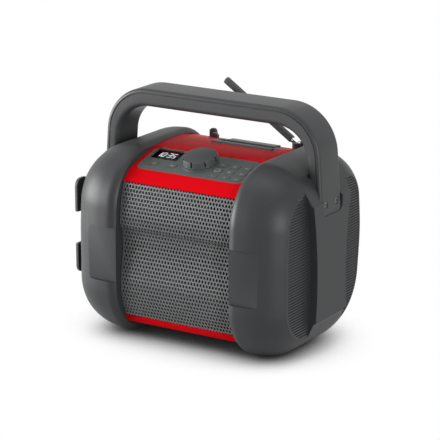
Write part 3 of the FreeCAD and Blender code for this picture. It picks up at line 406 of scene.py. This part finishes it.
for side in (-1, 1):
    end = side * grille_half
    corners = [sheet.verts.new((end, y, z)) for y, z in grille_line]
    corners += [sheet.verts.new((end, cheek_rear, grille_line[i][1])) for i in (-1, 0)]
    cheek = bmesh.ops.extrude_face_region(sheet, geom=[sheet.faces.new(corners)])["geom"]
    bmesh.ops.translate(sheet, vec=(-side * grille_sheet, 0, 0), verts=points_of(cheek))
grille_skin = bpy.data.meshes.new("front_grille_skin")
sheet.to_mesh(grille_skin)
sheet.free()
grille = placed("front_grille_skin", grille_skin)
grille_paint = moulded("grille_paint", (0.165, 0.168, 0.172), (0.195, 0.198, 0.202),
                       rough=(0.38, 0.46), grain=1600.0, depth=0.05, cloud=20.0, metal=0.3,
                       gloss=0.3)
finished(grille, "front_grille", grille_paint)

# Acoustic cloth: black knitted gauze, stretched just behind the holes of the grille
# and in front of the baffle.
cloth_weave, tree, shader = new_material("cloth_weave")
place = tree.nodes.new("ShaderNodeTexCoord")
threads = tree.nodes.new("ShaderNodeTexWave")
threads.inputs["Scale"].default_value = 700.0
threads.inputs["Distortion"].default_value = 1.5
tone = tree.nodes.new("ShaderNodeMix")
tone.data_type = "RGBA"
tone.inputs[6].default_value = (0.002, 0.002, 0.002, 1.0)
tone.inputs[7].default_value = (0.006, 0.006, 0.006, 1.0)
bump = tree.nodes.new("ShaderNodeBump")
bump.inputs["Strength"].default_value = 0.4
bump.inputs["Distance"].default_value = bump_height
join(tree, place.outputs["Object"], threads.inputs["Vector"])
join(tree, threads.outputs["Fac"], tone.inputs["Factor"])
join(tree, tone.outputs[2], shader.inputs["Base Color"])
join(tree, threads.outputs["Fac"], bump.inputs["Height"])
join(tree, bump.outputs[0], shader.inputs["Normal"])
shader.inputs["Roughness"].default_value = 0.95
coloured(cloth_weave, "grille_cloth")

# Red cover and tray: two mouldings of one red plastic with a faint texture. The cover closes
# the top and slopes down to the grille, and the tray shows as a lip under it.
red_plastic = moulded("red_plastic", (0.60, 0.0022, 0.0060), (0.67, 0.0030, 0.0075),
                      rough=(0.32, 0.38), grain=1300.0, depth=0.05, cloud=9.0, gloss=0.015)
moulding("top_cover", red_plastic, edge=0.0005)
moulding("bottom_tray", red_plastic, edge=0.0005)

# Rear panel: one moulding of black plastic with a fine texture, held between the bumpers,
# with the bay of the sockets in it.
rear_plastic = moulded("rear_plastic", (0.018, 0.018, 0.019), (0.026, 0.026, 0.028),
                       rough=(0.45, 0.55), grain=1100.0, depth=0.16)
moulding("rear_panel", rear_plastic, edge=0.0005)

# Control panel: a plate of grey-green plastic with a very fine texture and an eased rim,
# let into the slope of the cover.
panel_plastic = moulded("panel_plastic", (0.070, 0.084, 0.080), (0.082, 0.097, 0.092),
                        rough=(0.38, 0.46), grain=1500.0, depth=0.06)
moulding("control_panel", panel_plastic, edge=0.0002)

# Keys: caps of nearly the same plastic as the panel, which stand just proud of it, each with
# a pale printed mark. The marks are thin films of ink on the caps and travel with them.
slope_middle = Matrix.Translation((0.0, -0.04455, datum + 0.19595))
slope_place = slope_middle @ Matrix.Rotation(radians(16.71), 4, "X")
key_top = 0.00032
ink_depth = 0.00006
ink_sink = 0.00002
near_column, middle_column, end_column = 0.0283, 0.0440, 0.0595
upper_row, middle_row, lower_row = 0.0053, -0.0072, -0.0190
display_row = -0.0120
power_column, source_column = -0.0536, -0.0295
key_plastic = moulded("key_plastic", (0.066, 0.080, 0.076), (0.078, 0.092, 0.088),
                      rough=(0.40, 0.48), grain=1500.0, depth=0.06)
mark_ink = moulded("mark_ink", (0.30, 0.31, 0.30), (0.36, 0.37, 0.36),
                   rough=(0.45, 0.55), grain=1500.0, depth=0.03)
power_ink = moulded("power_ink", (0.34, 0.24, 0.10), (0.38, 0.27, 0.12),
                    rough=(0.45, 0.55), grain=1500.0, depth=0.03)


def disc(shape, u, v, radius, sides=20):
    """Flat round or many-sided spot of ink."""
    made = bmesh.ops.create_circle(shape, cap_ends=True, segments=sides, radius=radius)
    bmesh.ops.translate(shape, vec=(u, v, 0), verts=made["verts"])
    return made["verts"]


def bar(shape, u, v, width, height, turn=0.0):
    """Flat stroke of ink, turned about its own middle."""
    points = bmesh.ops.create_grid(shape, x_segments=1, y_segments=1, size=0.5)["verts"]
    bmesh.ops.scale(shape, vec=(width, height, 1), verts=points)
    turned(shape, turn, points)
    bmesh.ops.translate(shape, vec=(u, v, 0), verts=points)


def hoop(shape, u, v, radius, width, start=0.0, sweep=360.0):
    """Part of a ring of ink, spun from one stroke."""
    across, up = cos(radians(start)), sin(radians(start))
    ends = [shape.verts.new((u + r * across, v + r * up, 0)) for r in (radius, radius - width)]
    bmesh.ops.spin(shape, geom=[*ends, shape.edges.new(ends)], cent=(u, v, 0), axis=(0, 0, 1),
                   angle=radians(sweep), steps=28, use_merge=sweep == 360.0)


def arrow(shape, u, v, size, turn=0.0):
    """Flat triangle of ink that points up the slope before it is turned."""
    points = disc(shape, 0, 0, size, sides=3)
    turned(shape, turn, points)
    bmesh.ops.translate(shape, vec=(u, v, 0), verts=points)


def thickened(shape, depth):
    """Give flat spots of ink or light a thickness, with their faces outward."""
    raised = bmesh.ops.extrude_face_region(shape, geom=shape.faces[:])["geom"]
    bmesh.ops.translate(shape, vec=(0, 0, depth), verts=points_of(raised))
    bmesh.ops.recalc_face_normals(shape, faces=shape.faces)


def power_mark(shape):
    stroke = 0.00045
    hoop(shape, 0, 0, radius=0.0019, width=stroke, start=125, sweep=290)
    bar(shape, 0, 0.0016, width=stroke, height=0.0018)


def source_mark(shape):
    line_step = 0.0011
    for line in (1, 0, -1):
        bar(shape, 0, line * line_step, width=0.0040, height=0.0004)


def bass_mark(shape):
    for place, height in ((-0.0014, 0.0016), (0, 0.0032), (0.0014, 0.0024)):
        bar(shape, place, 0, width=0.0005, height=height)


def light_mark(shape):
    disc(shape, 0, 0, radius=0.0009)
    reach = 0.0018
    for turn in range(0, 360, 60):
        bar(shape, reach * cos(radians(turn)), reach * sin(radians(turn)), width=0.0009,
            height=0.0003, turn=turn)


def pair_mark(shape):
    for place in (-0.0009, 0.0009):
        hoop(shape, place, 0, radius=0.0014, width=0.0004)


def play_mark(shape):
    hoop(shape, 0, 0, radius=0.0036, width=0.0007)


def skip_mark(side):
    """Arrow that points to a stop, at the left for -1 and at the right for 1."""
    def arrow_and_stop(shape):
        arrow(shape, -side * 0.0003, 0, size=0.0017, turn=-side * 90)
        bar(shape, side * 0.0016, 0, width=0.0005, height=0.0027)
    return arrow_and_stop


def preset_mark(count):
    """A row of as many dots as the key's number."""
    def dots(shape):
        dot_step = 0.0013
        for i in range(count):
            disc(shape, (i - (count - 1) / 2) * dot_step, 0, radius=0.00055, sides=12)
    return dots


key_marks = [("power_key", power_column, display_row, power_mark),
             ("source_key", source_column, display_row, source_mark),
             ("bass_key", near_column, upper_row, bass_mark),
             ("light_key", middle_column, upper_row, light_mark),
             ("pair_key", end_column, upper_row, pair_mark),
             ("play_key", near_column, middle_row, play_mark),
             ("previous_key", middle_column, middle_row, skip_mark(-1)),
             ("next_key", end_column, middle_row, skip_mark(1)),
             ("preset_one_key", near_column, lower_row, preset_mark(1)),
             ("preset_two_key", middle_column, lower_row, preset_mark(2)),
             ("preset_three_key", end_column, lower_row, preset_mark(3))]
for key_name, u, v, draw in key_marks:
    moulding(key_name, key_plastic, edge=0.00015)
    film = bmesh.new()
    draw(film)
    thickened(film, ink_depth)
    bmesh.ops.translate(film, vec=(u, v, key_top - ink_sink), verts=film.verts)
    bmesh.ops.transform(film, matrix=slope_place, verts=film.verts)
    ink = bpy.data.meshes.new(key_name + "_mark")
    film.to_mesh(ink)
    film.free()
    ink.materials.append(power_ink if key_name == "power_key" else mark_ink)
    mark = placed(key_name + "_mark", ink)
    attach(mark, key_name)

# Display: a black module with lit white digits, seen through a smoked window that is flush
# with the panel. The digits are leaning seven-segment strokes that show the time.
clock_time = "10:35"
digit_height, digit_width = 0.0084, 0.0038
narrow_width = 0.0001
digit_gap = 0.0021
colon_heights = (0.0026, 0.0058)
stroke = 0.0008
clock_left, clock_foot = -0.0578, 0.0048
digit_lean = 0.12
digit_level = -0.00112
digit_depth = 0.00008
display_black = moulded("display_black", (0.002, 0.002, 0.002), (0.004, 0.004, 0.004),
                        rough=(0.30, 0.40), depth=0.02)
coloured(display_black, "display_module")
smoked, tree, shader = new_material("smoked_window")
shader.inputs["Base Color"].default_value = (0.75, 0.78, 0.78, 1.0)
shader.inputs["Transmission Weight"].default_value = 1.0
shader.inputs["IOR"].default_value = 1.25
haze = tree.nodes.new("ShaderNodeTexNoise")
haze.inputs["Scale"].default_value = 60.0
place = tree.nodes.new("ShaderNodeTexCoord")
sheen = tree.nodes.new("ShaderNodeMapRange")
sheen.inputs["To Min"].default_value = 0.02
sheen.inputs["To Max"].default_value = 0.08
join(tree, place.outputs["Object"], haze.inputs["Vector"])
join(tree, haze.outputs["Fac"], sheen.inputs["Value"])
join(tree, sheen.outputs[0], shader.inputs["Roughness"])
coloured(smoked, "display_lens")
lit, tree, shader = new_material("lit_digit")
shader.inputs["Base Color"].default_value = (0.8, 0.82, 0.85, 1.0)
shader.inputs["Emission Color"].default_value = (0.92, 0.96, 1.0, 1.0)
shader.inputs["Emission Strength"].default_value = 1.0
shader.inputs["Roughness"].default_value = 0.5
lit_segments = {"1": "bc", "0": "abcdef", "3": "abcdg", "5": "acdfg"}
level_segments = {"a": 1.0, "g": 0.5, "d": 0.0}
upright_segments = {"b": (1, 0.75), "c": (1, 0.25), "f": (-1, 0.75), "e": (-1, 0.25)}
readout = bmesh.new()
left = clock_left
for figure in clock_time:
    if figure == ":":
        for height in colon_heights:
            bar(readout, left, height, stroke, stroke)
        left += digit_gap
        continue
    width = narrow_width if figure == "1" else digit_width
    middle = left + width / 2
    for name in lit_segments[figure]:
        if name in level_segments:
            bar(readout, middle, level_segments[name] * digit_height, width, stroke)
        else:
            side, share = upright_segments[name]
            bar(readout, middle + side * width / 2, share * digit_height, stroke, digit_height / 2)
    left += width + digit_gap
for point in readout.verts:
    point.co.x += digit_lean * point.co.y
bmesh.ops.translate(readout, vec=(0, clock_foot, digit_level), verts=readout.verts)
thickened(readout, digit_depth)
bmesh.ops.transform(readout, matrix=slope_place, verts=readout.verts)
digits_mesh = bpy.data.meshes.new("clock_digits")
readout.to_mesh(digits_mesh)
readout.free()
digits_mesh.materials.append(lit)
digits = placed("clock_digits", digits_mesh)
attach(digits, "radio")

# Volume knob: a cap with finger grooves in soft-touch black rubber over plastic,
# pushed onto the encoder's shaft.
knob_rubber = moulded("knob_rubber", (0.046, 0.052, 0.053), (0.057, 0.064, 0.065),
                      rough=(0.50, 0.58), grain=1400.0, depth=0.08, gloss=0.3)
moulding("volume_knob", knob_rubber, edge=0.0004)

# Carrying handle: a hard inner frame with a soft strap moulded over its outside.
# The joint between the two runs along the edge of the grip.
strap_rubber = moulded("strap_rubber", (0.036, 0.037, 0.039), (0.043, 0.044, 0.046),
                       rough=(0.38, 0.45), grain=1200.0, depth=0.10, gloss=0.3)
frame_plastic = moulded("frame_plastic", (0.044, 0.045, 0.047), (0.051, 0.052, 0.054),
                        rough=(0.33, 0.39), grain=1000.0, depth=0.10, gloss=0.4)
moulding("handle_strap", strap_rubber, edge=0.0006)
moulding("handle_frame", frame_plastic, edge=0.0006)

# Handle screws: steel pan heads with a hexagon socket and a plain shank,
# two driven through each foot of the handle into the bumper.
foot_face = 0.14355
screw_height = datum + 0.162
screw_offset = 0.0117
head_radius, head_rise = 0.0034, 0.0019
head_round = 0.3 * head_rise
socket_radius, socket_depth = 0.5 * head_radius, 0.7 * head_rise
shank_radius, shank_length = 0.0016, 0.018
screw_steel = moulded("screw_steel", (0.13, 0.13, 0.135), (0.18, 0.18, 0.185),
                      rough=(0.30, 0.42), grain=2000.0, depth=0.05, cloud=40.0, metal=1.0)


def lines_at(points):
    return list({line for point in points for line in point.link_edges})


def socket_screw(place, outward):
    """Mesh of one screw with its seat at a place: rounded head, six-sided socket and shank."""
    shape = bmesh.new()
    head = bmesh.ops.create_cone(shape, cap_ends=True, segments=24, radius1=head_radius,
                                 radius2=head_radius, depth=head_rise,
                                 matrix=Matrix.Translation((0, 0, head_rise / 2)))["verts"]
    rim = [line for line in lines_at(head)
           if all(point.co.z > head_rise * 0.9 for point in line.verts)]
    bmesh.ops.bevel(shape, geom=rim, offset=head_round, offset_type="OFFSET", segments=3,
                    profile=0.5, affect="EDGES", material=-1)
    top = [side for side in shape.faces
           if side.normal.z > 0.99 and side.calc_center_median().z > head_rise * 0.9]
    bmesh.ops.delete(shape, geom=top, context="FACES_ONLY")
    mouth = bmesh.ops.create_circle(shape, segments=6, radius=socket_radius,
                                    matrix=Matrix.Translation((0, 0, head_rise)))
    ring = lines_at(mouth["verts"])
    open_rim = [line for line in shape.edges if line.is_boundary and line not in ring]
    bmesh.ops.bridge_loops(shape, edges=ring + open_rim)
    floor_points = points_of(bmesh.ops.extrude_edge_only(shape, edges=ring)["geom"])
    bmesh.ops.translate(shape, vec=(0, 0, -socket_depth), verts=floor_points)
    bmesh.ops.contextual_create(shape, geom=floor_points)
    bmesh.ops.create_cone(shape, cap_ends=True, segments=12, radius1=shank_radius,
                          radius2=shank_radius, depth=shank_length,
                          matrix=Matrix.Translation((0, 0, -shank_length / 2)))
    lean = Vector((0, 0, 1)).rotation_difference(Vector(outward)).to_matrix().to_4x4()
    bmesh.ops.transform(shape, matrix=Matrix.Translation(place) @ lean, verts=shape.verts)
    bmesh.ops.recalc_face_normals(shape, faces=shape.faces)
    mesh = bpy.data.meshes.new("socket_screw")
    shape.to_mesh(mesh)
    shape.free()
    return mesh


screws = bmesh.new()
for side in (-1, 1):
    for offset in (-screw_offset, screw_offset):
        single = socket_screw((side * foot_face, offset, screw_height), (side, 0, 0))
        screws.from_mesh(single)
        bpy.data.meshes.remove(single)
screws_mesh = bpy.data.meshes.new("handle_socket_screws")
screws.to_mesh(screws_mesh)
screws.free()
finished(placed("handle_socket_screws", screws_mesh), "handle_screws", screw_steel)

# Aerial: a soft black whip with a moulded cap on a bright knuckle, in a black turret.
# It tilts on its pin, turns with the turret and snaps into the clip.
whip_rubber = moulded("whip_rubber", (0.034, 0.035, 0.034), (0.044, 0.045, 0.044),
                      rough=(0.42, 0.50), grain=1200.0, depth=0.10)
tip_rubber = moulded("tip_rubber", (0.046, 0.047, 0.044), (0.056, 0.057, 0.053),
                     rough=(0.45, 0.52), grain=1200.0, depth=0.10)
knuckle_chrome = moulded("knuckle_chrome", (0.62, 0.62, 0.63), (0.70, 0.70, 0.71),
                         rough=(0.08, 0.16), grain=1200.0, depth=0.02, cloud=40.0, metal=1.0)
turret_plastic = moulded("turret_plastic", (0.030, 0.031, 0.032), (0.040, 0.041, 0.042),
                         rough=(0.38, 0.46), grain=1200.0, depth=0.10)
moulding("antenna_whip", whip_rubber, edge=0.0005)
moulding("antenna_tip", tip_rubber, edge=0.0004)
moulding("antenna_knuckle", knuckle_chrome, edge=0.0003)
moulding("antenna_turret", turret_plastic, edge=0.0004)
moulding("antenna_clip", turret_plastic, edge=0.0006)

# Phone rest: a tray let into the cover, with a rounded rubber lip in front of its groove
# and a flat flap behind it that folds up against the phone's back.
tray_plastic = moulded("tray_plastic", (0.020, 0.021, 0.022), (0.028, 0.029, 0.030),
                       rough=(0.45, 0.55), grain=1000.0)
lip_rubber = moulded("lip_rubber", (0.050, 0.056, 0.062), (0.062, 0.068, 0.075),
                     rough=(0.40, 0.48), grain=1200.0, depth=0.08)
moulding("phone_tray", tray_plastic, edge=0.0004)
moulding("phone_lip", lip_rubber, edge=0.0006)
moulding("phone_flap", turret_plastic, edge=0.0003)

# Cord hooks, port flap, foot pads and battery door: the loose fittings of rubber and plastic,
# which are pushed in, hinged or screwed on after the casing is closed.
hook_rubber = moulded("hook_rubber", (0.056, 0.058, 0.061), (0.068, 0.070, 0.074),
                      rough=(0.42, 0.50), grain=1100.0, depth=0.10)
pad_rubber = moulded("pad_rubber", (0.012, 0.012, 0.012), (0.018, 0.018, 0.018),
                     rough=(0.65, 0.75), grain=600.0, depth=0.30)
moulding("cord_hooks", hook_rubber, edge=0.0011, rounds=3)
moulding("port_flap", hook_rubber, edge=0.0004)
moulding("foot_pads", pad_rubber, edge=0.0005)
moulding("battery_door", rear_plastic, edge=0.0004)

# Woofer: a pressed black basket, a dark paper cone with its dust cap, a rubber surround
# and a bare magnet, held on the baffle by steel screws.
basket_paint = moulded("basket_paint", (0.015, 0.015, 0.016), (0.024, 0.024, 0.025),
                       rough=(0.35, 0.45), depth=0.08, cloud=20.0, metal=0.6)
cone_paper = moulded("cone_paper", (0.022, 0.022, 0.022), (0.034, 0.034, 0.033),
                     rough=(0.75, 0.9), grain=500.0, depth=0.4, cloud=60.0)
surround_rubber = moulded("surround_rubber", (0.010, 0.010, 0.010), (0.015, 0.015, 0.015),
                          rough=(0.5, 0.6), depth=0.1)
magnet_iron = moulded("magnet_iron", (0.05, 0.05, 0.052), (0.09, 0.09, 0.095),
                      rough=(0.5, 0.7), grain=500.0, depth=0.3, cloud=30.0, metal=0.8)
coloured(basket_paint, "woofer_basket")
coloured(cone_paper, "woofer_cone")
coloured(surround_rubber, "woofer_surround")
coloured(magnet_iron, "woofer_magnet")
coloured(screw_steel, "woofer_screws")

# Pins, shaft and inner plastic: turned steel for what the knob, the aerial and the flaps turn on,
# and the black plastic of the rear panel for the baffle, the sockets and the cell holder.
coloured(screw_steel, "encoder_body", "encoder_shaft", "antenna_pin", "phone_flap_pin",
         "port_flap_pin")
coloured(rear_plastic, "baffle", "dc_inlet", "audio_socket", "battery_holder")

# Boards and cells: lacquered green boards with the amplifier's bare alloy heat sink,
# the plated socket beside it, and round cells in a blue wrap.
board_green = moulded("board_green", (0.006, 0.055, 0.020), (0.010, 0.085, 0.030),
                      rough=(0.30, 0.40), grain=700.0, depth=0.05, cloud=90.0)
sink_alloy = moulded("sink_alloy", (0.42, 0.42, 0.43), (0.52, 0.52, 0.53),
                     rough=(0.35, 0.5), grain=1500.0, depth=0.1, cloud=40.0, metal=1.0)
cell_wrap = moulded("cell_wrap", (0.02, 0.06, 0.16), (0.03, 0.08, 0.20),
                    rough=(0.25, 0.35), depth=0.03)
coloured(board_green, "control_board", "main_board")
coloured(sink_alloy, "heat_sink", "usb_socket")
coloured(cell_wrap, "battery_cells")
